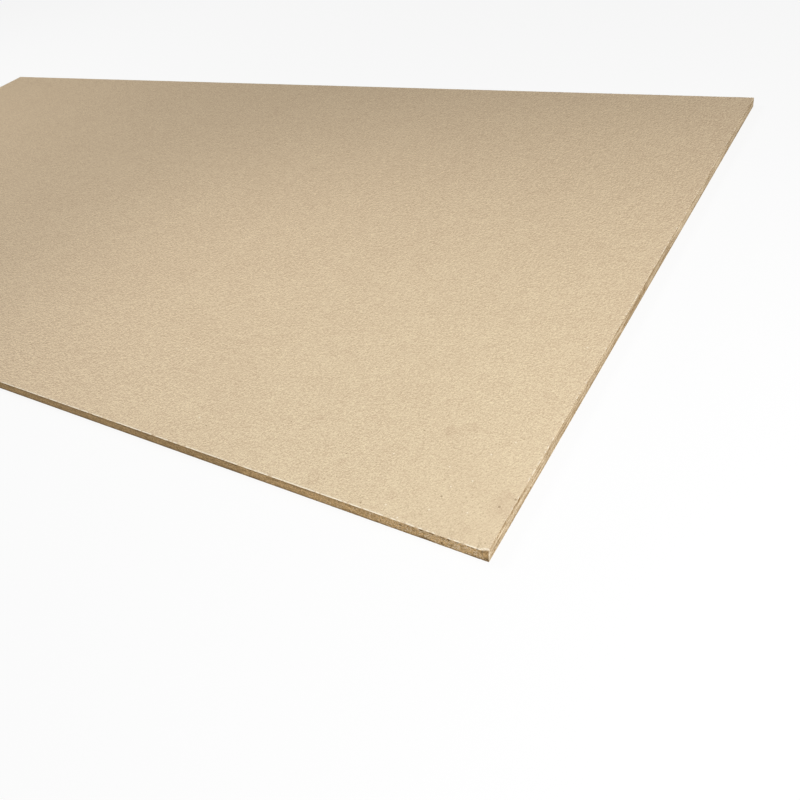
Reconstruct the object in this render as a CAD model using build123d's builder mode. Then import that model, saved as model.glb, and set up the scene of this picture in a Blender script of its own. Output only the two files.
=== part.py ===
"""Sheet of medium-density fibreboard: one flat panel, pressed in one piece and sawn square on all four sides.

The frame stands at the centre of the underside. +X runs along the sheet, +Y across it and +Z through its
thickness, so the sheet lies flat on the plane Z = 0.
"""

import os

from build123d import *

# The size that the sheet is sold in
sheet_length = 2440.0
sheet_width = 1220.0
sheet_thickness = 18.0

# Wear that stacking and carrying leave on a sawn sheet
arris_radius = 0.4
upright_corner_radius = 0.8

# The front right-hand corner has been knocked: how far the bruise reaches from the sharp corner
knock_along_front = 10.0
knock_along_side = 4.2
knock_down_corner = 16.0
knock_edge_radius = 0.5

# The sharp corner that the bruise is measured from, and the three points where its face leaves the sheet
sharp_corner = Vector(sheet_length / 2, -sheet_width / 2, sheet_thickness)
knock_on_front = sharp_corner - Vector(knock_along_front, 0, 0)
knock_on_side = sharp_corner + Vector(0, knock_along_side, 0)
knock_on_corner = sharp_corner - Vector(0, 0, knock_down_corner)
knock_across = knock_on_side - knock_on_front
knock_plane = Plane(
    origin=knock_on_front,
    x_dir=knock_across,
    z_dir=(knock_on_corner - knock_on_front).cross(knock_across),
)

with BuildPart() as fibreboard_sheet:
    # The panel as it leaves the saw, with its four upright edges rubbed round
    with BuildSketch():
        RectangleRounded(sheet_length, sheet_width, upright_corner_radius)
    extrude(amount=sheet_thickness)

    # The bruise takes the sharp corner off, and its own edges are rubbed soft
    split(bisect_by=knock_plane, keep=Keep.BOTTOM)
    knock_face = fibreboard_sheet.faces().sort_by_distance(sharp_corner)[0]
    fillet(knock_face.edges(), radius=knock_edge_radius)

    # The long arrises round both faces
    underside = fibreboard_sheet.faces().sort_by(Axis.Z)[0]
    top_face = fibreboard_sheet.faces().filter_by(Axis.Z).sort_by(Axis.Z)[-1]
    fillet(underside.edges(), radius=arris_radius)
    fillet(top_face.edges(), radius=arris_radius)

fibreboard_sheet.part.label = "fibreboard_sheet"

os.makedirs("parts", exist_ok=True)
export_step(fibreboard_sheet.part, "parts/fibreboard_sheet.step")
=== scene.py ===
# %% [markdown]
# A sheet of medium-density fibreboard.
# The real sheet is one panel: wood fibres and glue pressed hot between two steel plates, sanded on both faces
# and sawn square on all four sides. It has no plies and no parts, so all that there is to see is how its
# faces are finished, what the saw left on its edges, and what carrying it has done to one corner. The packed
# model already holds the panel at its real size. This lesson dresses that solid and never moves it.

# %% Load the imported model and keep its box
import math

import bpy
import numpy as np
from mathutils import Matrix, Vector


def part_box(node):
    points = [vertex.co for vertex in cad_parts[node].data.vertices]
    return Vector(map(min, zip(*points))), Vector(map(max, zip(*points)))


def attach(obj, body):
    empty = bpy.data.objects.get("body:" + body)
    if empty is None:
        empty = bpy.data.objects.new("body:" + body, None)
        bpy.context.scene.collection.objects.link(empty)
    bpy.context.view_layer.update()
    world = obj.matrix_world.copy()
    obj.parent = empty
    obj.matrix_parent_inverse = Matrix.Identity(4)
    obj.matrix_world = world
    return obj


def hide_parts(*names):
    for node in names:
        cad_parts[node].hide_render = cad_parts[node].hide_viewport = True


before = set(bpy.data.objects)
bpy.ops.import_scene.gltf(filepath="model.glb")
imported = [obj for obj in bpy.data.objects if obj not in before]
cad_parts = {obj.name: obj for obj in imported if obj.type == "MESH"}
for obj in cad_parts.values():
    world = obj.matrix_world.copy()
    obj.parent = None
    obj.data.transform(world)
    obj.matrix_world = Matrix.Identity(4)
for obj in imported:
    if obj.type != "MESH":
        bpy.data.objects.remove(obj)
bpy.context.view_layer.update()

# %% [markdown]
# Lengths below are in millimetres, as a joiner would say them, and become metres only in a mesh or a
# material. The sheet's own size isn't typed here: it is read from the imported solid, so the dressing fits.

# %% Read the sheet's size from the solid
MM = 0.001
solid_low, solid_high = (np.array(corner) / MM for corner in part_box("fibreboard_sheet"))
length, width, thickness = solid_high - solid_low
half_size = np.array([length, width]) / 2
print(f"sheet {length:.1f} x {width:.1f} x {thickness:.1f} mm")

# %% [markdown]
# Fibre, crumbs and saw marks have no drawing, only a size and a strength, so they are made from noise.
# Blender's own Noise node could do it inside a material, but a mesh needs the numbers in Python. Lattice
# noise is the plainest kind: every corner of a grid of cubes gets a random number, and a point between the
# corners takes a smooth blend of the eight around it. The random number comes from the corner's own place, so
# nothing is stored, and the same seed always gives the same board.

# %% Noise for the relief
lattice_start = 4096
odd_numbers = np.array([73856093, 19349663, 83492791], np.uint64)
seed_step = 2654435761
stirring_number = np.uint64(2246822519)
shifted_by = np.uint64(15)
all_bits = 0xFFFFFFFF


def corner_number(cell, seed):
    """A number from 0 to 1 for each lattice corner: its three whole coordinates, each times a large odd
    number, are combined bit by bit, then shifted and multiplied twice so that neighbours share nothing."""
    mixed = np.bitwise_xor.reduce(cell * odd_numbers, axis=-1) ^ np.uint64(seed * seed_step)
    for _ in range(2):
        mixed = (mixed ^ (mixed >> shifted_by)) * stirring_number & np.uint64(all_bits)
    return mixed / all_bits


def grain(places, size, seed):
    """Smooth noise from 0 to 1 with grains of this size: the numbers of the eight corners round a point are
    weighted along each axis by t or 1 - t, where t is the share of the way across, eased as 3t^2 - 2t^3. The
    lattice starts so far off that every cell of the board has a number above 0."""
    spot = places / size + lattice_start
    cell = np.floor(spot).astype(np.uint64)
    share = spot - cell
    share = share * share * (3 - 2 * share)
    total = 0
    for corner in np.ndindex(2, 2, 2):
        weight = np.where(corner, share, 1 - share).prod(axis=-1)
        total = total + weight * corner_number(cell + np.array(corner, np.uint64), seed)
    return total


def over(values, start, end):
    """0 before start, 1 past end and an eased ramp between them, whichever of the two is larger."""
    share = np.clip((values - start) / (end - start), 0, 1)
    return share * share * (3 - 2 * share)


def bell(values, middle, reach):
    """1 at the middle, falling off both ways as e to the minus square of the distance over the reach."""
    return np.exp(-(((values - middle) / reach) ** 2))


def blend(share, first, second):
    """The first value where the share is 0, the second where it is 1, and the straight way between them."""
    return first + (second - first) * share


def at_least(least, share):
    """A share that ran from 0 to 1 now runs from the least value to 1."""
    return least + (1 - least) * share


# %% [markdown]
# The panel's skin could be a cube with bevels, but a bevel has no room for chips and pits. Here the skin is a
# profile carried round the outline: across it run the rows, from the top face over the arris, down the sawn
# edge and under, and along it run the columns. Columns cost triangles, so they stand close only where the eye
# goes: at the corners, above all the knocked one, and along the two near edges.
# The lines of a coarse grid are set first. Every stretch of edge between two lines then gets a whole number
# of columns, which lets the fine band meet the coarse grid of the flat faces without a gap.

# %% Space the grid lines along a side
corner_cell = 6.0
corner_cell_growth = 0.25
near_cell = 20.0
near_reach = 700.0
far_cell_growth = 0.12
largest_cell = 120.0
end_cell = 8.0
end_cell_growth = 0.6
side_samples = 8001


def grid_lines(side):
    """Distances of the grid lines from the near corner. A cell's length is a function of where it lies: it
    grows away from both ends and stays short over the near reach. One over that length, added up along the
    side, counts the cells, and a line stands wherever the count is whole."""
    reach = np.linspace(0, side, side_samples)
    cell = corner_cell + corner_cell_growth * reach
    cell = np.minimum(cell, near_cell + far_cell_growth * np.maximum(reach - near_reach, 0))
    cell = np.minimum(cell, end_cell + end_cell_growth * (side - reach))
    cell = np.minimum(cell, largest_cell)
    count = np.concatenate([[0], np.cumsum(np.diff(reach) * 2 / (cell[1:] + cell[:-1]))])
    cells = round(count[-1])
    return np.interp(np.arange(cells + 1) * count[-1] / cells, count, reach)


lines_x = (half_size[0] - grid_lines(length))[::-1]
lines_y = grid_lines(width) - half_size[1]
cells_x, cells_y = len(lines_x) - 1, len(lines_y) - 1
side_cells = (cells_x, cells_y, cells_x, cells_y)
print(f"grid of {cells_x} x {cells_y} cells")


# %% Walk round the outline
smallest_length = 1e-9


def outline(columns):
    """Points on the sharp outline, anticlockwise from the front left corner, with so many columns in each
    cell of the front, right, back and left sides. A side's last point is left to the next side."""
    side_lines = (lines_x, lines_y, lines_x[::-1], lines_y[::-1])
    edge_places = (-half_size[1], half_size[0], half_size[1], -half_size[0])
    walked = []
    for turned, (lines, edge, count) in enumerate(zip(side_lines, edge_places, columns)):
        steps = np.arange((len(lines) - 1) * count) / count
        along = np.interp(steps, np.arange(len(lines)), lines)
        place = np.stack([along, np.full_like(along, edge)], axis=-1)
        walked.append(place if turned % 2 == 0 else place[:, ::-1])
    return np.concatenate(walked)


def ring(sharp, inset, radius):
    """The outline drawn in by an inset, with its corners rounded, and the way that each point faces. The
    points are scaled towards the middle, and one that lies within the radius of both sides goes to the arc,
    along the line from the arc's centre."""
    half = half_size - inset
    centre = half - radius
    place = np.abs(sharp) * half / half_size
    beyond = np.maximum(place - centre, 0)
    distance = np.maximum(np.linalg.norm(beyond, axis=-1, keepdims=True), smallest_length)
    in_corner = (beyond > smallest_length).all(axis=-1, keepdims=True)
    moved = np.where(in_corner, beyond * radius / distance, beyond)
    return np.sign(sharp) * (np.minimum(place, centre) + moved), np.sign(sharp) * beyond / distance


# %% [markdown]
# The section comes next: rows on the face, a quarter circle over the arris, the sawn edge, and the same again
# below. The face's rows stand closer towards the arris, each at the same share of the one before, because the
# chips get smaller and closer there. The underside lies on the floor, so it makes do with fewer rows. Its
# arris has kept the saw's sharpness, where the sander has eased the upper one.

# %% Draw the section
arris_radius = 0.35
lower_arris_radius = 0.15
band_inset = 9.0
sawn_steps = 16


def half_section(radius, face_rows, arris_steps):
    """From the flat face out over its arris: each row's inset, its depth below the face and its tilt, which
    is 0 on the face and a quarter turn on the sawn edge. Insets shrink by a fixed share down to the arris's
    radius, and the arris is a quarter circle."""
    turn = np.linspace(0, np.pi / 2, arris_steps + 1)
    flat_insets = np.geomspace(band_inset, radius, face_rows)[:-1]
    insets = np.concatenate([flat_insets, radius * (1 - np.sin(turn))])
    depths = np.concatenate([np.zeros(face_rows - 1), radius * (1 - np.cos(turn))])
    tilts = np.concatenate([np.zeros(face_rows - 1), turn])
    return insets, depths, tilts


upper_insets, upper_depths, upper_tilts = half_section(arris_radius, face_rows=8, arris_steps=4)
lower_insets, lower_depths, lower_tilts = half_section(lower_arris_radius, face_rows=4, arris_steps=3)
sawn_depths = np.linspace(arris_radius, thickness - lower_arris_radius, sawn_steps + 1)[1:-1]

row_insets = np.concatenate([upper_insets, np.zeros(len(sawn_depths)), lower_insets[::-1]])
row_heights = np.concatenate([thickness - upper_depths, thickness - sawn_depths, lower_depths[::-1]])
row_tilts = np.concatenate([upper_tilts, np.full(len(sawn_depths), np.pi / 2), np.pi - lower_tilts[::-1]])
print(f"{len(row_insets)} rows across the band")

# %% Carry the section round the outline
upright_radius = 0.6
smallest_radius = 0.02
band_columns = (16, 16, 4, 4)

sharp = outline(band_columns)
row_radii = np.maximum(upright_radius - row_insets, smallest_radius)
flat_places = ring(sharp, row_insets[:, None, None], row_radii[:, None, None])[0]
facing = ring(sharp, 0, upright_radius)[1]
heights = np.broadcast_to(row_heights[:, None], flat_places.shape[:2])
band = np.concatenate([flat_places, heights[..., None]], axis=-1)

outward = np.zeros_like(band)
outward[..., :2] = facing * np.sin(row_tilts)[:, None, None]
outward[..., 2] = np.cos(row_tilts)[:, None]
print(f"band of {band.shape[0]} rows and {band.shape[1]} columns")

# %% [markdown]
# Wear is a depth at each point of the band, always inwards, so that the dressed sheet never leaves the
# solid's box. It has four causes. The saw tears crumbs from the open middle of the board and leaves faint
# lines along it. Handling nibbles the arrises. A few pits and torn places are deep enough to be known one by
# one, so each has its own entry in a short list: how far it lies from the near corner, its height, its reach
# along the edge and up it, and its depth. The last list is of places where the saw has torn the right edge
# for a hand's width.

# %% Known marks on the two near edges
front_marks = [
    (2, 3, 2.4, 2.2, 1.0), (6, 2, 1.8, 1.1, 0.7), (7, 15, 2.2, 1.5, 1.2), (8, 12, 1.0, 2.6, 0.7),
    (13, 17, 1.3, 1.1, 1.0), (20, 16, 1.4, 1.2, 1.0), (25, 16.5, 1.3, 1.1, 1.0), (34, 12, 1.6, 1.0, 0.9),
    (39, 16.5, 1.3, 1.1, 1.0), (50, 16, 2.0, 1.8, 0.9), (60, 16, 1.4, 1.3, 1.0), (61, 4.5, 1.1, 2.0, 1.1),
    (71, 16, 1.4, 1.2, 1.0), (75, 16, 1.3, 1.1, 1.0), (87, 16, 2.8, 1.2, 1.1), (83, 1.5, 11.0, 1.4, 0.9),
    (117, 12, 1.5, 1.3, 1.1), (183, 16.5, 1.4, 1.0, 0.9), (190, 16, 1.4, 1.0, 0.9), (193, 3, 1.2, 0.9, 0.7),
    (207, 16.5, 1.4, 0.9, 0.8), (234, 2, 1.4, 0.9, 0.8), (247, 2, 1.4, 0.9, 0.8), (246, 16.5, 1.4, 0.9, 0.8),
    (259, 17, 1.4, 0.9, 0.8), (267, 2.5, 2.0, 1.0, 0.8), (30, 1.5, 1.4, 0.9, 0.8), (153, 1.5, 1.6, 0.9, 0.8),
]
side_marks = [
    (86, 16, 2.0, 1.6, 0.7), (72, 15.5, 1.4, 1.4, 0.8), (66, 12.5, 1.4, 1.4, 0.8), (47, 15, 1.9, 1.3, 0.9),
    (42, 16, 1.4, 1.2, 1.0), (58, 3, 1.4, 1.1, 0.8), (34, 14.5, 1.5, 1.2, 0.8), (19, 14.5, 1.9, 1.3, 0.8),
    (116, 4.5, 1.4, 1.2, 0.7), (133, 4, 1.4, 1.1, 0.7), (16, 3, 2.2, 1.2, 0.7), (10, 2.5, 3.0, 1.4, 0.8),
]
side_tears = [
    (412, 4.5, 26.0, 2.2, 0.75), (460, 6.5, 20.0, 3.4, 1.4), (482, 7.5, 15.0, 4.0, 1.3),
    (503, 9, 17.0, 3.4, 1.3), (520, 7.5, 14.0, 4.6, 1.3), (540, 8, 13.0, 5.6, 1.3),
    (575, 13.5, 24.0, 2.0, 1.1), (660, 11, 30.0, 3.0, 0.2),
]
print(f"{len(front_marks)} marks in front, {len(side_marks)} and {len(side_tears)} torn places on the right")


def marks(along, height, listed):
    """The depth of some marks: each is a bell along the edge times a bell up it, and the deepest counts."""
    depth = np.zeros(np.broadcast(along, height).shape)
    for place, level, reach, rise, most in listed:
        depth = np.maximum(depth, most * bell(along, place, reach) * bell(height, level, rise))
    return depth


# %% Where each point of the band lies
facing_start = 0.3
facing_end = 0.9

from_corner_front = half_size[0] - band[..., 0]
from_corner_side = band[..., 1] + half_size[1]
depth_down = thickness - heights
from_upper_arris = np.hypot(row_insets[:, None], depth_down)
from_lower_arris = np.hypot(row_insets[:, None], heights)

on_front = over(-facing[:, 1], facing_start, facing_end) * np.ones_like(heights)
on_side = over(facing[:, 0], facing_start, facing_end) * np.ones_like(heights)
long_edge = over(np.abs(facing[:, 1]), facing_start, facing_end) * np.ones_like(heights)
sawn = over(np.sin(row_tilts), start=0.35, end=0.95)[:, None] * np.ones_like(heights)

way_round = np.cumsum(np.linalg.norm(np.diff(sharp, axis=0, prepend=sharp[-1:]), axis=-1))
unrolled = np.stack([way_round + 0 * heights, heights, 0 * heights], axis=-1)
print(f"{way_round[-1]:.0f} mm round the sheet")

# %% Depth of crumbs, pits, lines and nibbles
crumb_size = 1.7
crumb_depth = 0.22
fine_crumb_depth = 0.12
pit_size = 2.6
pit_depth = 0.8
line_size = np.array([42.0, 1.3, 1.0])
line_depth = 0.2
nibble_size = 3.2
nibble_depth = 0.6
nibble_middle = 0.25
nibble_reach = 0.9
lower_arris_wear = 0.5
least_wear = 0.35
least_pitted = 0.3
front_lines = 0.5
side_wear = 0.25

arris_share = bell(from_upper_arris, nibble_middle, nibble_reach)
arris_share = arris_share + lower_arris_wear * bell(from_lower_arris, nibble_middle, nibble_reach)
near_front = over(from_corner_front, start=260, end=120) * on_front
worn_share = at_least(least_wear, near_front) + side_wear * on_side

crumbs = crumb_depth * grain(band, crumb_size, seed=11) ** 2
crumbs = crumbs + fine_crumb_depth * grain(band, crumb_size / 2, seed=12)
pits = pit_depth * over(grain(band, pit_size, seed=13), start=0.74, end=1.0)
pits = pits * at_least(least_pitted, worn_share)
lines = line_depth * over(grain(unrolled, line_size, seed=14), start=0.45, end=0.9)
lines = lines * at_least(front_lines, on_side)
nibbles = nibble_depth * over(grain(band, nibble_size, seed=15), start=0.5, end=0.95)
nibbles = nibbles * arris_share * worn_share
known = marks(from_corner_front, heights, front_marks) * on_front
known = np.maximum(known, marks(from_corner_side, heights, side_marks) * on_side)

# %% Depth of the saw's line and torn places, and of all the wear
middle_height = 9.0
middle_line_depth = 0.4
middle_line_reach = 0.8
middle_gap_size = np.array([28.0, 50.0, 1.0])
tear_crumb_size = 3.4
tear_depth = 0.5

saw_reach = on_side * over(from_corner_side, start=95, end=130) * over(from_corner_side, start=460, end=400)
middle_gaps = over(grain(unrolled, middle_gap_size, seed=16), start=0.3, end=0.6)
middle_line = middle_line_depth * bell(heights, middle_height, middle_line_reach) * middle_gaps * saw_reach
tears = marks(from_corner_side, heights, side_tears) * on_side
tear_crumbs = grain(band, tear_crumb_size, seed=17)
torn = tear_depth * tears * over(tear_crumbs, start=0.35, end=0.8)

depth = sawn * (crumbs + lines + middle_line + torn) + np.maximum(sawn * pits, np.maximum(nibbles, known))
places = band - outward * depth[..., None]
print(f"wear up to {depth.max():.2f} mm deep")

# %% [markdown]
# Wear changes the colour as well as the shape, and painted shade and highlight come with it. Deep pits are
# painted dark: painted shade in the hollows. A broken dark line runs along the foot: painted shade where the
# board meets the floor. A fainter one runs under the upper arris: partly the denser skin, partly painted
# shade under the arris. On the right edge, near the corner, that line runs lower. Further on another one
# follows the middle, where the saw came through, and beyond that the torn places are dark. The front edge is
# painted darker
# towards its far end: painted shade. The arris itself is paler than the face, with gaps where it has been
# nibbled: partly rubbed by the sander and many hands, partly a painted highlight. Pale fibres stand out of
# the front edge, more and more towards the corner.

# %% Dark lines along the edges
dash_size = np.array([3.6, 30.0, 1.0])
long_dash_size = np.array([23.0, 60.0, 1.0])
front_foot_height = 0.6
side_foot_height = 2.2
front_foot_reach = 2.0
side_foot_reach = 1.6
least_foot = 0.6
side_foot = 0.7
far_foot_gain = 0.1
side_foot_gain = 0.2
under_line_near = 1.4
under_line_far = 1.8
under_line_reach = 1.6
least_under_near = 0.35
least_under_far = 0.5
least_side_line = 0.4
further_side_line = 0.8
saw_line_reach = 1.5
least_saw_line = 0.4
least_torn_line = 0.65

dashes = grain(unrolled, dash_size, seed=31)
long_dashes = grain(unrolled, long_dash_size, seed=32)
far_front = over(from_corner_front, start=230, end=340)
shaded_end = over(from_corner_front, start=120, end=220)
shaded_end = blend(0.75, shaded_end, over(from_corner_front, start=290, end=450)) * on_front

# Painted shade: a broken dark line along the foot, where the board meets the floor.
foot_middle = np.where(on_front > 0.5, front_foot_height + far_front, side_foot_height)
foot_shade_line = bell(heights, foot_middle, blend(on_side, front_foot_reach, side_foot_reach))
foot_shade_line = foot_shade_line * at_least(least_foot, over(dashes, start=0.3, end=0.5))
foot_shade_line = foot_shade_line * (at_least(side_foot, on_front) + far_foot_gain * far_front * on_front)
foot_shade_line = foot_shade_line * (1 + side_foot_gain * on_side * bell(from_corner_side, middle=270, reach=90))

broken = over(blend(0.4, dashes, long_dashes), start=0.42, end=0.62)
# Under the upper arris of the front edge: partly the denser skin, partly painted shade under the arris,
# stronger towards the far end.
under_line = bell(depth_down, blend(far_front, under_line_near, under_line_far), under_line_reach) * on_front
under_line = under_line * at_least(blend(far_front, least_under_near, least_under_far), broken)

# The same line on the right edge, lower near the corner: partly the denser skin, partly painted shade under
# the arris.
near_line = bell(depth_down, middle=3.8, reach=1.7)
further_line = further_side_line * bell(depth_down, middle=2.0, reach=1.1)
side_line = blend(over(from_corner_side, start=120, end=84), further_line, near_line)
side_line = side_line * at_least(least_side_line, over(dashes, start=0.4, end=0.6)) * on_side

saw_line = bell(heights, middle_height, saw_line_reach) * saw_reach
saw_line = saw_line * at_least(least_saw_line, over(long_dashes, start=0.2, end=0.6))
torn_line = tears * at_least(least_torn_line, over(tear_crumbs, start=0.3, end=0.7))

# %% Dark shares
hollow_start = 0.18
hollow_end = 0.78
foot_shade_dark = 0.90
under_dark_near = 0.42
under_dark_far = 0.74
side_line_dark = 0.56
saw_line_dark = 0.50
torn_dark = 0.95
most_torn_dark = 0.66
shaded_dark = 0.40

# Painted shade: the deeper a point lies, the darker it is painted.
hollow_shade = np.clip((depth - hollow_start) / (hollow_end - hollow_start), 0, 1)
dark_lines = [
    foot_shade_dark * foot_shade_line,
    blend(shaded_end, under_dark_near, under_dark_far) * under_line,
    side_line_dark * side_line,
    saw_line_dark * saw_line,
    np.minimum(torn_dark * torn_line, most_torn_dark),
]
dark = np.maximum(hollow_shade, np.max(dark_lines, axis=0) * sawn)
dark = 1 - (1 - np.minimum(dark, 1)) * (1 - shaded_dark * shaded_end * sawn)
print(f"{(dark > 0.5).mean():.0%} of the band's points are dark")

# %% Pale shares
pale_line_inset = 1.0
pale_line_reach = 0.75
side_pale_share = 0.6
least_grit = 0.08
most_grit = 0.68

# A paler line along the upper arris, broken where nibbled or dark: partly rubbed fibre, partly a painted
# highlight.
front_pale_line = over(blend(0.3, dashes, long_dashes), start=0.34, end=0.5)
side_pale_line = side_pale_share * over(dashes, start=0.62, end=0.7)
pale = bell(row_insets, pale_line_inset, pale_line_reach)[:, None] * (depth_down < arris_radius)
pale = pale * np.where(long_edge > 0.5, front_pale_line, side_pale_line) * (1 - dark)
grit = on_front * sawn * blend(over(from_corner_front, start=240, end=60), least_grit, most_grit)
print(f"{(pale > 0.5).mean():.0%} of the band's points are rubbed pale")

# %% [markdown]
# The near corner has been knocked. The solid has this as one cut, widest at the top face and dying out just
# above the foot, with soft edges. On the board it is crushed fibre: the front is driven back, the core shows
# rough and brown, and the skin round it is paler, partly rubbed and partly a painted highlight. So every
# point beyond the plane of the cut is moved straight back to it, with an eased start in place of a sharp rim,
# and a little extra depth gives the crumbs.

# %% Crush the near corner
knock_along_front = 10.0
knock_along_side = 4.2
knock_down_corner = 16.0
knock_ease = 0.5
crush_crumb_size = 1.5
crush_crumb_depth = 0.4
fine_crush_size = 0.8
fine_crush_depth = 0.25

near_corner = np.array([half_size[0], -half_size[1], thickness])
knock_reach = np.array([knock_along_front, -knock_along_side, knock_down_corner])
knock_normal = 1 / knock_reach
knock_normal /= np.linalg.norm(knock_normal)
knock_start = near_corner - np.array([knock_along_front, 0, 0])

beyond = (places - knock_start) @ knock_normal
pushed = (beyond + np.sqrt(beyond**2 + knock_ease**2)) / 2 * over(beyond, start=-4 * knock_ease, end=0)
crushed = over(beyond, start=-0.2, end=0.5)
crush_crumbs = crush_crumb_depth * grain(band, crush_crumb_size, seed=21)
crush_crumbs = crushed * (crush_crumbs + fine_crush_depth * grain(band, fine_crush_size, seed=22))
places = places - knock_normal * (pushed + crush_crumbs)[..., None]
print(f"{(crushed > 0.5).sum()} points lie on the crushed corner")

# %% [markdown]
# The blow has bared the core, so the crushed points join the sawn ones. They are painted dark: partly the
# rough brown core, partly painted shade, which is darker where their crumbs lie deep and in the crease under
# the lip that the skin left. They also get darker towards the foot. Beside them the front is painted darker:
# painted
# shade. The skin round them is pale: partly rubbed, partly a painted highlight. All of it follows one number,
# how far a point lies beyond the plane of the cut, which is below 0 outside the knock.

# %% Colour the crushed corner
shade_beside_start = -2.6
shade_beside_end = -0.6
shade_beside_above = 0.42
shade_beside_below = 0.76
crushed_least_dark = 0.66
crumb_shade = 0.2
foot_side_dark = 0.18
crease_shade = 0.22
lip_loss = 0.9
lip_pale = 0.7
grit_loss = 0.7
side_rim_pale = 0.4
flat_tilt = 0.3

sawn = np.maximum(sawn, crushed)
long_edge = np.maximum(long_edge, crushed)
# Painted shade: the front beside the cut is darkened, more so low down.
beside = over(beyond, shade_beside_start, shade_beside_end)
low_down = over(heights, start=11, end=6)
shade_beside_cut = beside * on_front * sawn * blend(low_down, shade_beside_above, shade_beside_below)

crushed_down = thickness - places[..., 2]
lip = crushed * over(crushed_down, start=2.2, end=1.2)
# The crushed core is painted dark: partly its rough brown and partly painted shade. Painted shade darkens it
# where its crumbs lie deep and in the crease under the lip; it is also darker towards the foot.
crushed_dark = crushed_least_dark + crumb_shade * over(crush_crumbs, start=0.3, end=0.6)
crushed_dark = crushed_dark + foot_side_dark * over(heights, start=11, end=7)
crushed_dark = crushed_dark + crease_shade * bell(crushed_down, middle=3.2, reach=1.3)
dark = np.maximum(dark, np.maximum(shade_beside_cut, crushed * crushed_dark * (1 - lip_loss * lip)))
grit = grit * (1 - grit_loss * beside)

# Paler rims round the cut on the face and on the right side, and the lip: partly rubbed skin, partly a
# painted highlight.
rim = bell(beyond, middle=-1.0, reach=0.7) * (row_tilts < flat_tilt)[:, None]
side_rim = side_rim_pale * bell(beyond, middle=-1.2, reach=0.9) * on_side
pale = np.max([pale * (1 - crushed), rim, side_rim, lip_pale * lip], axis=0)
print(f"dark up to {dark.max():.2f}, pale up to {pale.max():.2f}")

# %% [markdown]
# The flat faces are closed by the coarse grid. One ring of points lies between the band and the grid, so the
# number of points falls in two easy steps, and every face between two rings has one coarse step on its inner
# side and a few fine ones on its outer side.

# %% Close the flat faces
ring_inset = 17.0
grid_inset = 30.0
ring_columns = (4, 4, 4, 4)

grid_share = 1 - grid_inset / half_size
grid_x, grid_y = np.meshgrid(lines_x * grid_share[0], lines_y * grid_share[1], indexing="ij")
grid_places = np.stack([grid_x, grid_y], axis=-1).reshape(-1, 2)
ring_places = ring(outline(ring_columns), ring_inset, smallest_radius)[0]
grid_number = np.arange(len(grid_places)).reshape(cells_x + 1, cells_y + 1)
grid_edge = np.concatenate(
    [grid_number[:-1, 0], grid_number[-1, :-1], grid_number[:0:-1, -1], grid_number[0, :0:-1]]
)


def sides_of(numbers, columns):
    """One ring of point numbers cut into its four sides, each with the next side's first point at its end."""
    ends = np.cumsum([cells * count for cells, count in zip(side_cells, columns)])
    closed = np.append(numbers, numbers[0])
    return [closed[start : end + 1] for start, end in zip([0, *ends[:-1]], ends)]


def stitch(inner, outer):
    """The faces between two rings along one side: each takes one step of the inner ring and, going round the
    other way, the steps of the outer ring that face it."""
    ratio = (len(outer) - 1) // (len(inner) - 1)
    first = np.arange(len(inner) - 1)[:, None] * ratio
    return np.concatenate([inner[:-1, None], outer[first + np.arange(ratio + 1)], inner[1:, None]], axis=1)


def flat_face(edge_numbers, first_number, height):
    """Points and faces of one flat face, seen from above: its grid, then its ring, then the faces between
    them and the band's end row."""
    flat = np.concatenate([grid_places, ring_places])
    points = np.column_stack([flat, np.full(len(flat), height)])
    grid = grid_number + first_number
    cells = np.stack([grid[:-1, :-1], grid[1:, :-1], grid[1:, 1:], grid[:-1, 1:]], axis=-1).reshape(-1, 4)
    ring_numbers = first_number + len(grid_places) + np.arange(len(ring_places))
    faces = [cells]
    for inner, middle, outer in zip(
        sides_of(grid_edge + first_number, (1, 1, 1, 1)),
        sides_of(ring_numbers, ring_columns),
        sides_of(edge_numbers, band_columns),
    ):
        faces += [stitch(inner, middle), stitch(middle, outer)]
    return points, faces


rows, columns = band.shape[:2]
band_number = np.arange(rows * columns).reshape(rows, columns)
after = np.roll(band_number, -1, axis=1)
band_faces = np.stack([band_number[:-1], band_number[1:], after[1:], after[:-1]], axis=-1).reshape(-1, 4)
top_points, top_faces = flat_face(band_number[0], rows * columns, thickness)
under_points, under_faces = flat_face(band_number[-1], rows * columns + len(top_points), 0.0)
under_faces = [faces[:, ::-1] for faces in under_faces]

points = np.concatenate([places.reshape(-1, 3), top_points, under_points])
faces = [face for group in [band_faces, *top_faces, *under_faces] for face in group.tolist()]
print(f"{len(top_points)} points and {sum(map(len, top_faces))} faces close each flat face")

# %% Put the skin into a mesh
sharp_angle = 50.0

mesh = bpy.data.meshes.new("board_skin")
mesh.from_pydata(points * MM, [], faces)
mesh.update()
triangles = sum(len(face) - 2 for face in faces)
print(f"board skin: {len(points)} points, {triangles} triangles")


def keep_on_mesh(name, band_values):
    """Keeps one number a point on the mesh for the material: the band's values, and 0 on the flats."""
    values = np.zeros(len(points), np.float32)
    values[: band_values.size] = band_values.ravel()
    mesh.attributes.new(name, "FLOAT", "POINT").data.foreach_set("value", values)


keep_on_mesh("sawn", sawn)
keep_on_mesh("long_edge", long_edge)
keep_on_mesh("dark", dark)
keep_on_mesh("pale", pale)
keep_on_mesh("grit", grit)

board = bpy.data.objects.new("board", mesh)
bpy.context.scene.collection.objects.link(board)
mesh.shade_smooth()
mesh.set_sharp_from_angle(angle=math.radians(sharp_angle))

# %% [markdown]
# The exporter bakes the finish into pictures and needs to know which part of a picture covers which part of
# the skin. It can cut the skin up by itself, but it would break the rough edges into hundreds of scraps. A
# map by the name OFBake is used as it is, so here is one: both faces lie flat at one scale, and each sawn
# edge is a straight strip, drawn taller than it is so that its crumbs keep enough pixels.

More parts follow.
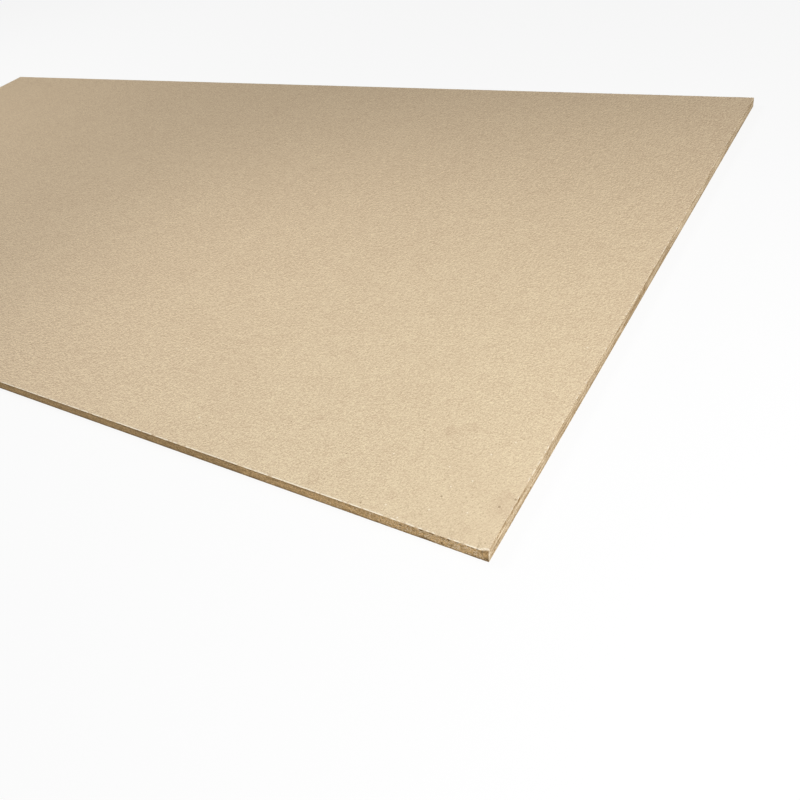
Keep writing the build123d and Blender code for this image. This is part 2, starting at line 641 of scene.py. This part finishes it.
# %% Lay out the bake map
map_length = 0.92
map_scale = map_length / length
map_margin = 0.04
top_level = 0.53
under_level = 0.06
strip_height = 0.0135
strip_starts = np.array([[0.04, 0.003], [0.03, 0.037], [0.04, 0.020], [0.51, 0.037]])


def faces_laid_flat(numbers, on_top):
    """Map places of points on a flat face: their own x and y, scaled and shifted. Underneath, x is turned
    round, so that neither face is mirrored."""
    flat = np.concatenate([flat_places.reshape(-1, 2), top_points[:, :2], under_points[:, :2]])[numbers]
    across = flat[:, 0] if on_top else -flat[:, 0]
    start = np.array([map_margin, top_level if on_top else under_level])
    return start + (np.column_stack([across, flat[:, 1]]) + half_size) * map_scale


def sawn_strip(side, first_row, last_row):
    """Map places of the corners of one side's sawn faces. Across the strip is the distance along the side,
    walked anticlockwise, and up it is the share of the section between the two rows."""
    start = sum(counts[:side])
    around = (start + np.arange(counts[side] + 1)) % columns
    way = np.array([[1, 0], [0, 1], [-1, 0], [0, -1]])[side]
    along = sharp[around] @ way + half_size @ np.abs(way)
    levels = row_steps[first_row : last_row + 1] - row_steps[first_row]
    up = 1 - levels / levels[-1]
    across, rise = np.meshgrid(along * map_scale, up * strip_height)
    strip = np.stack([across, rise], axis=-1) + strip_starts[side]
    return np.stack([strip[:-1, :-1], strip[1:, :-1], strip[1:, 1:], strip[:-1, 1:]], axis=2)


counts = [cells * count for cells, count in zip(side_cells, band_columns)]
row_steps = np.concatenate([[0], np.cumsum(np.hypot(np.diff(row_insets), np.diff(row_heights)))])
first_sawn = np.argmin(np.abs(row_tilts - np.pi / 4))
last_sawn = len(row_tilts) - 1 - np.argmin(np.abs(row_tilts[::-1] - 3 * np.pi / 4))
sawn_map = np.concatenate([sawn_strip(side, first_sawn, last_sawn) for side in range(4)], axis=1)
above, below = band_faces[: first_sawn * columns], band_faces[last_sawn * columns :]
bake_map = np.concatenate([
    faces_laid_flat(above.ravel(), True),
    sawn_map.reshape(-1, 2),
    faces_laid_flat(below.ravel(), False),
    faces_laid_flat(np.concatenate([group.ravel() for group in top_faces]), True),
    faces_laid_flat(np.concatenate([group.ravel() for group in under_faces]), False),
])
mesh.uv_layers.new(name="OFBake").data.foreach_set("uv", bake_map.ravel())
print(f"bake map: {len(bake_map)} corners, strips from row {first_sawn} to row {last_sawn}")

# %% [markdown]
# A material is a small piece of arithmetic for every point of the surface. Written as node links it is hard
# to read, so one class lets a socket behave like a number: adding or multiplying two of them adds the Math
# node.

# %% Shader numbers that add and multiply
class Number:
    """A socket that gives one number. Arithmetic with it adds Math nodes to its material."""

    def __init__(self, finish, socket):
        self.finish = finish
        self.socket = socket

    def math(self, operation, *others):
        """A Math node on this number and the others."""
        return self.finish.add("ShaderNodeMath", {"operation": operation}, dict(enumerate((self, *others))))

    def __add__(self, other):
        return self.math("ADD", other)

    def __sub__(self, other):
        return self.math("SUBTRACT", other)

    def __rsub__(self, other):
        return self.finish.add("ShaderNodeMath", {"operation": "SUBTRACT"}, {0: other, 1: self})

    def __mul__(self, other):
        return self.math("MULTIPLY", other)

    __radd__ = __add__
    __rmul__ = __mul__

    def over(self, start, end):
        """0 before start, 1 past end and an eased ramp between them, as in the relief."""
        inputs = {"Value": self, "From Min": start, "From Max": end}
        return self.finish.add("ShaderNodeMapRange", {"interpolation_type": "SMOOTHSTEP"}, inputs)


class Finish:
    """A material and the nodes in it."""

    def __init__(self, name):
        self.material = bpy.data.materials.new(name)
        self.material.use_nodes = True
        self.tree = self.material.node_tree
        self.tree.nodes.clear()

    def add(self, kind, settings=None, inputs=None, output=0):
        """Adds a node: its settings first, then a value or a link for each input, and returns an output. A
        colour is written as three numbers, and its alpha of 1 is put in here."""
        node = self.tree.nodes.new(kind)
        for name, value in (settings or {}).items():
            setattr(node, name, value)
        for name, value in (inputs or {}).items():
            socket = node.inputs[name]
            if isinstance(value, Number):
                self.tree.links.new(value.socket, socket)
            else:
                socket.default_value = (*value, 1) if socket.type == "RGBA" else value
        return Number(self, node.outputs[output])

    def mix(self, share, first, second):
        """One colour blended with another by a share from 0 to 1. Sockets 6 and 7 are the colours."""
        inputs = {"Factor": share, 6: first, 7: second}
        return self.add("ShaderNodeMix", {"data_type": "RGBA"}, inputs, output=2)

    def close(self, shader):
        """Joins the shader to the material's output and returns the material."""
        surface = self.tree.nodes.new("ShaderNodeOutputMaterial").inputs["Surface"]
        self.tree.links.new(shader.socket, surface)
        return self.material


# %% [markdown]
# The finish of fibreboard has two halves, and the skin's own numbers say which half a point belongs to. The
# sanded faces are pale and nearly even: fine fibre, a felt-like mottle a few millimetres across, faint
# clouds, and here and there a dark or a pale speck. The sawn edges show the core: browner, crumbly, darker in
# every hollow and streaked along the cut. Both read the place on the board itself, so the pattern is as fixed
# to the sheet as the fibres are.
# The specks and smudges that are known one by one stand in short lists: how far each lies to the left of the
# near corner and behind it, and its radius.

# %% Marks that are known one by one on the top face
dark_specks = [
    (165, 147, 1.7), (88, 54, 1.9), (16, 65, 2.2), (3, 82, 2.0), (243, 73, 1.7), (355, 97, 1.8),
    (475, 46, 1.9), (300, 240, 1.7), (520, 330, 1.9), (700, 420, 2.0), (178, 8, 1.8), (8, 11, 1.3),
]
pale_specks = [
    (182, 95, 1.4), (102, 101, 1.4), (85, 72, 1.4), (64, 90, 1.4), (62, 138, 1.4), (42, 168, 1.4),
    (146, 17, 1.5), (92, 30, 1.4), (47, 43, 1.4), (122, 5, 1.5), (498, 56, 1.7), (26, 373, 1.6),
    (330, 300, 1.5), (640, 180, 1.6),
]
smudges = [
    (131, 158, 15.0), (118, 165, 18.0), (104, 173, 15.0), (14, 82, 14.0), (22, 74, 13.0), (12, 64, 24.0),
    (147, 33, 10.0), (38, 20, 6.0), (320, 120, 14.0), (242, 57, 11.0),
]
print(f"{len(dark_specks)} dark specks, {len(pale_specks)} pale specks and {len(smudges)} smudges")

# %% [markdown]
# Two patterns are enough for fibreboard. Smooth noise gives clouds and streaks. Flakes, which are the cells
# of a Voronoi pattern with one number each, give fibres and crumbs, because a fibre has an end and a cloud
# hasn't. Either is made finer, drawn out or turned by changing the place that it reads. A picture of a real
# board could do it too, but it would repeat, and it would be sharp at one size only.

# %% Patterns on the board
fibre_turn = 35.0


class BoardFinish(Finish):
    """The board's material with the patterns that it is made of. Their sizes are in millimetres."""

    def __init__(self, name):
        super().__init__(name)
        self.place = self.add("ShaderNodeTexCoord", output="Object")

    def share(self, name):
        """One of the numbers that the skin carries."""
        return self.add("ShaderNodeAttribute", {"attribute_name": name}, output="Fac")

    def turned_place(self, size, stretch, turned=0.0, moved=0.0):
        """The place on the board, counted in features of this size, drawn out along a direction and moved
        across it by so many millimetres."""
        angle = math.radians(turned)
        scale = tuple(size * MM * axis for axis in stretch)
        across = (-moved * MM * math.sin(angle), moved * MM * math.cos(angle), 0)
        inputs = {"Vector": self.place, "Location": across, "Rotation": (0, 0, angle), "Scale": scale}
        return self.add("ShaderNodeMapping", {"vector_type": "TEXTURE"}, inputs)

    def noise(self, size, detail, rough=0.5, stretch=(1, 1, 1)):
        """Smooth noise with features of this size."""
        place = self.turned_place(size, stretch)
        inputs = {"Vector": place, "Scale": 1, "Detail": detail, "Roughness": rough}
        return self.add("ShaderNodeTexNoise", {"noise_dimensions": "3D"}, inputs)

    def flakes(self, size, stretch=(1, 1, 1), turned=0.0, moved=0.0):
        """Flat flakes of this size, each with its own number around a half."""
        inputs = {"Vector": self.turned_place(size, stretch, turned, moved), "Scale": 1}
        return self.add("ShaderNodeTexVoronoi", {"feature": "F1"}, inputs, output="Color")

    def fibres(self, size, stretch, gap):
        """Flakes less the same flakes moved across by the gap: each pale fibre has its dark shadow beside it,
        so they even out over a few millimetres."""
        return self.flakes(size, stretch, fibre_turn) - self.flakes(size, stretch, fibre_turn, moved=gap)

    def distance(self, left, behind):
        """Distance in metres from a point of the top face, so far left of the near corner and behind it."""
        centre = tuple((near_corner + np.array([-left, behind, 0])) * MM)
        inputs = {0: self.place, 1: centre}
        return self.add("ShaderNodeVectorMath", {"operation": "DISTANCE"}, inputs, output="Value")

    def spots(self, listed, softness):
        """The strongest of some round spots. Each is 1 in its middle and falls to 0 at its radius, over a
        soft rim that is this share of the radius."""
        strongest = None
        for left, behind, radius in listed:
            spot = self.distance(left, behind).over(radius * MM, radius * (1 - softness) * MM)
            strongest = spot if strongest is None else strongest.math("MAXIMUM", spot)
        return strongest


# %% The sanded face
face_dark = (0.493, 0.362, 0.241)
face_pale_near = (0.765, 0.651, 0.441)
face_pale_far = (0.783, 0.635, 0.429)
speck_dark = (0.36, 0.265, 0.165)
speck_pale = (0.80, 0.71, 0.56)
face_shade = 0.52
far_reach = 1100.0
painted_light_falloff = 0.03
contrast = 0.57
contrast_gain = 0.65
contrast_reach = 300.0
fine_size = 0.9
fine_strength = 0.85
fine_fibre_strength = 0.45
fine_fibre_gap = 2.0
felt_size = 2.2
felt_strength = 0.62
felt_fibre_size = 1.6
felt_fibre_strength = 0.78
felt_fibre_gap = 2.6
slow_changes = {"clouds": (160, 2, 0.15), "drifts": (26, 2, 0.22), "clumps": (15, 1, 0.07)}
smudge_softness = 0.9
smudge_strength = 0.16
pore_size = 1.2
pore_strength = 0.46
speck_softness = 0.5
speck_strength = 0.9


def sanded_face(finish, fine):
    """The colour of a sanded face: a shade around a half blends the board's dark with its pale. Fine flakes
    and fibres give the mottle, which gets stronger and coarser away from the near corner. The slow changes,
    each a noise with a size, a detail and a strength, are added and the smudges taken off. Pores and specks
    are blended in last."""
    from_corner = finish.distance(left=0, behind=0)
    far = from_corner.over(0.0, far_reach * MM)
    fine_fibres = finish.fibres(fine_size, (2.0, 1, 1), fine_fibre_gap)
    mottle = (fine - 0.5) * fine_strength + fine_fibres * fine_fibre_strength
    felt_fibres = finish.fibres(felt_fibre_size, (1.6, 1, 1), felt_fibre_gap)
    felt = (finish.flakes(felt_size, (1.3, 1, 1), fibre_turn) - 0.5) * felt_strength
    felt = felt + felt_fibres * felt_fibre_strength
    mottle = (mottle + felt * far) * (contrast + from_corner.over(0.0, contrast_reach * MM) * contrast_gain)

    # Painted light: the face is a little lighter near the near corner and darker away from it.
    shade = face_shade - far * painted_light_falloff + mottle
    for size, detail, strength in slow_changes.values():
        shade = shade + (finish.noise(size, detail) - 0.5) * strength
    shade = shade - finish.spots(smudges, smudge_softness) * smudge_strength
    face = finish.mix(shade, face_dark, finish.mix(far, face_pale_near, face_pale_far))

    pores = finish.flakes(pore_size).over(start=0.79, end=0.85) * (1 - far) * pore_strength
    face = finish.mix(pores, face, speck_dark)
    face = finish.mix(finish.spots(dark_specks, speck_softness) * speck_strength, face, speck_dark)
    return finish.mix(finish.spots(pale_specks, speck_softness), face, speck_pale)


# %% [markdown]
# The saw bares the core, where the fibres are looser and browner than in the sanded skin. The long edges are
# speckled with pale fibre ends, and the short ones are streaked along the cut. They could have a material
# each, but they meet in the knocked corner, so one function makes both and a share tells them apart.

# %% The sawn edge
# The front edge's colours are browner and more saturated than the right edge's at about the same brightness:
# painted shade, for the front edge lies in shade.
front_core_low = (0.22, 0.13, 0.045)
front_core_high = (0.86, 0.58, 0.285)
side_core_low = (0.16, 0.085, 0.02)
side_core_high = (0.75, 0.615, 0.425)
core_pale = (0.690, 0.530, 0.340)
crumb_flake_size = 1.4
crumb_strength = 0.3
front_crumb_gain = 0.3
fluff_strength = 0.3
streak_size = 2.0
streak_strength = 0.7
saw_line_size = 2.4
saw_line_strength = 0.66
side_contrast = 1.45
front_contrast_gain = 0.2
fibre_end_size = 1.7
grit_strength = 0.4


def sawn_core(finish, fluff, long_edge):
    """The colour of the bared core: a shade around a half blends its dark with its pale, which differ between
    long and short edges. Crumbs, fluff and streaks make it uneven, and saw lines do on the short edges. A
    flake is a pale fibre end where its number, raised by the grit, passes a limit."""
    crumb = finish.flakes(crumb_flake_size)
    streaks = finish.noise(streak_size, detail=1, stretch=(14, 14, 0.6))
    saw_lines = finish.noise(saw_line_size, detail=1, stretch=(32, 32, 1))
    uneven = (crumb - 0.5) * (crumb_strength + long_edge * front_crumb_gain)
    uneven = uneven + (fluff - 0.5) * fluff_strength + (streaks - 0.5) * streak_strength
    uneven = uneven + (saw_lines - 0.5) * (1 - long_edge) * saw_line_strength
    shade = 0.5 + uneven * (side_contrast + front_contrast_gain * long_edge)
    core_low = finish.mix(long_edge, side_core_low, front_core_low)
    core_high = finish.mix(long_edge, side_core_high, front_core_high)
    fibre_ends = finish.flakes(fibre_end_size) + finish.share("grit") * grit_strength
    core = finish.mix(shade, core_low, core_high)
    return finish.mix(fibre_ends.over(start=0.88, end=0.93), core, core_pale)


# %% [markdown]
# Face and core are now two finishes of the whole board, and the share of sawn edge chooses between them at
# each point. Wear, painted highlight and painted shade come last, laid over whatever the fibre is. The fluff
# is too fine for the mesh, so a little bump stands for it.

# %% The board's finish
side_core_dark = (0.170, 0.086, 0.014)
front_core_dark = (0.150, 0.092, 0.037)
# The pale for the arris line, the rims and the lip: partly rubbed fibre, partly a painted highlight.
rubbed_and_highlight = (0.88, 0.81, 0.67)
wear_and_painted_light_strength = 0.9
fluff_size = 1.9
face_roughness = 0.62
fibre_roughness = 0.12
sawn_roughness = 0.25
face_relief = 0.03
sawn_relief = 1.2
relief_height = 0.3
relief_strength = 0.4
gloss = 0.12


def board_finish():
    """The sawn share blends face and core; pale and dark shares of wear, painted highlight and shade lie on
    top.
    """
    finish = BoardFinish("fibreboard")
    sawn_share = finish.share("sawn")
    on_long_edge = finish.share("long_edge")
    fine = finish.flakes(fine_size, (1.7, 1, 1), fibre_turn)
    fluff = finish.noise(fluff_size, detail=2, rough=0.6)

    colour = finish.mix(sawn_share, sanded_face(finish, fine), sawn_core(finish, fluff, on_long_edge))
    # Pale and dark shares are wear together with painted highlight and painted shade.
    colour = finish.mix(finish.share("pale") * wear_and_painted_light_strength, colour, rubbed_and_highlight)
    core_dark = finish.mix(on_long_edge, side_core_dark, front_core_dark)
    colour = finish.mix(finish.share("dark") * wear_and_painted_light_strength, colour, core_dark)
    rough = face_roughness + (fine - 0.5) * fibre_roughness + sawn_share * sawn_roughness
    height = fine * face_relief * (1 - sawn_share) + fluff * sawn_share * sawn_relief
    relief = {"Strength": relief_strength, "Distance": relief_height * MM, "Height": height}
    bump = finish.add("ShaderNodeBump", {}, relief)
    looks = {"Base Color": colour, "Roughness": rough, "Normal": bump, "Specular IOR Level": gloss}
    return finish.close(finish.add("ShaderNodeBsdfPrincipled", {}, looks))


mesh.materials.append(board_finish())
print(f"board finish of {len(mesh.materials[0].node_tree.nodes)} nodes")
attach(board, "root")
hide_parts("fibreboard_sheet")

# %% [markdown]
# The stage is a plain pale floor under soft light. The board's own shading says where the light is: the right
# edge is nearly as bright as the face and the front edge is less than half as bright, so the main light is
# large, high and to the right, and only what the room and the floor throw back reaches the front. A weak lamp
# close to the corner evens the face, and one high over the far end lights the part that the photograph
# doesn't show. The room lights the board only weakly, but the camera sees it as pale as the floor.

# %% Floor
floor_reach = 20000.0
floor_drop = 0.1
floor_grey = (0.10, 0.10, 0.10)
floor_rough = 0.9
floor_glow = 0.87
white = (1.0, 1.0, 1.0)


def plain_sheet(name, reach, height):
    """A flat square of four points: both coordinates run from minus to plus the reach."""
    across = np.array([-reach, reach])
    x, y = np.meshgrid(across, across, indexing="ij")
    corners = np.stack([x, y, np.full_like(x, height)], axis=-1).reshape(-1, 3)
    sheet = bpy.data.meshes.new(name)
    sheet.from_pydata(corners * MM, [], [(0, 2, 3, 1)])
    placed = bpy.data.objects.new(name, sheet)
    bpy.context.scene.collection.objects.link(placed)
    return placed


def floor_finish():
    """A glow of nearly white over a dull dark grey, so the floor stays even and takes only a faint shadow."""
    finish = Finish("pale_floor")
    looks = {
        "Base Color": floor_grey,
        "Roughness": floor_rough,
        "Specular IOR Level": 0.0,
        "Emission Color": white,
        "Emission Strength": floor_glow,
    }
    return finish.close(finish.add("ShaderNodeBsdfPrincipled", {}, looks))


floor = plain_sheet("floor", floor_reach, -floor_drop)
floor.data.materials.append(floor_finish())

# %% Lamps
lamp_size = 1000.0
near_middle = (-400, 350, 0)
far_middle = (-1800, 600, 0)
key_place = (1448, -279, 1358)
key_power = 53.0
fill_place = (-580, 328, 628)
fill_power = 1.7
far_fill_place = (-2788, 621, 2145)
far_fill_power = 32.2


def soft_light(name, offset, target_offset, power):
    """A square lamp, turned to face its target. Both offsets are from the near corner. It lights the board
    but isn't seen itself."""
    place = Vector((near_corner + offset) * MM)
    target = Vector((near_corner + target_offset) * MM)
    lamp = bpy.data.lights.new(name, "AREA")
    lamp.size = lamp_size * MM
    lamp.energy = power
    placed = bpy.data.objects.new(name, lamp)
    placed.location = place
    placed.rotation_euler = (target - place).to_track_quat("-Z", "Y").to_euler()
    placed.visible_camera = False
    bpy.context.scene.collection.objects.link(placed)


soft_light("key", key_place, near_middle, key_power)
soft_light("fill", fill_place, near_middle, fill_power)
soft_light("far fill", far_fill_place, far_middle, far_fill_power)
print(f"{len(bpy.data.lights)} lamps")

# %% Room
room_light = 0.167
room_seen = 0.88

room = bpy.data.worlds.new("room")
room.use_nodes = True
background = room.node_tree.nodes["Background"].inputs
background["Color"].default_value = (*white, 1)
seen = room.node_tree.nodes.new("ShaderNodeLightPath").outputs["Is Camera Ray"]
strength = room.node_tree.nodes.new("ShaderNodeMapRange")
strength.inputs["To Min"].default_value = room_light
strength.inputs["To Max"].default_value = room_seen
room.node_tree.links.new(seen, strength.inputs["Value"])
room.node_tree.links.new(strength.outputs["Result"], background["Strength"])
bpy.context.scene.world = room
bpy.context.scene.view_settings.view_transform = "Standard"

# %% [markdown]
# The camera stands where the photograph was taken from, found from the lines of the two near edges and from
# how thick the sheet looks along them: above the near corner, a little to its right, and rolled to the left.

# %% Camera
camera_azimuth = math.radians(40.289)
camera_elevation = math.radians(40.449)
camera_roll = math.radians(-14.245)
camera_from_corner = np.array([313.06, -450.12, 713.62])
sensor = 36.0
image_size = 800
focal_pixels = 788.0
nearest_seen = 10.0

back = Vector((
    math.sin(camera_azimuth) * math.cos(camera_elevation),
    -math.cos(camera_azimuth) * math.cos(camera_elevation),
    math.sin(camera_elevation),
))
right = Vector((math.cos(camera_azimuth), math.sin(camera_azimuth), 0))
rolled = Matrix.Rotation(camera_roll, 3, back)
axes = Matrix((rolled @ right, rolled @ back.cross(right), back)).transposed()

lens = bpy.data.cameras.new("photograph")
lens.sensor_width = sensor
lens.lens = sensor * focal_pixels / image_size
lens.clip_start = nearest_seen * MM
camera = bpy.data.objects.new("photograph", lens)
camera.matrix_world = Matrix.Translation(Vector((near_corner + camera_from_corner) * MM)) @ axes.to_4x4()
bpy.context.scene.collection.objects.link(camera)
bpy.context.scene.camera = camera
print(f"camera {camera_from_corner[2]:.0f} mm above the face, focal length {lens.lens:.1f} mm")
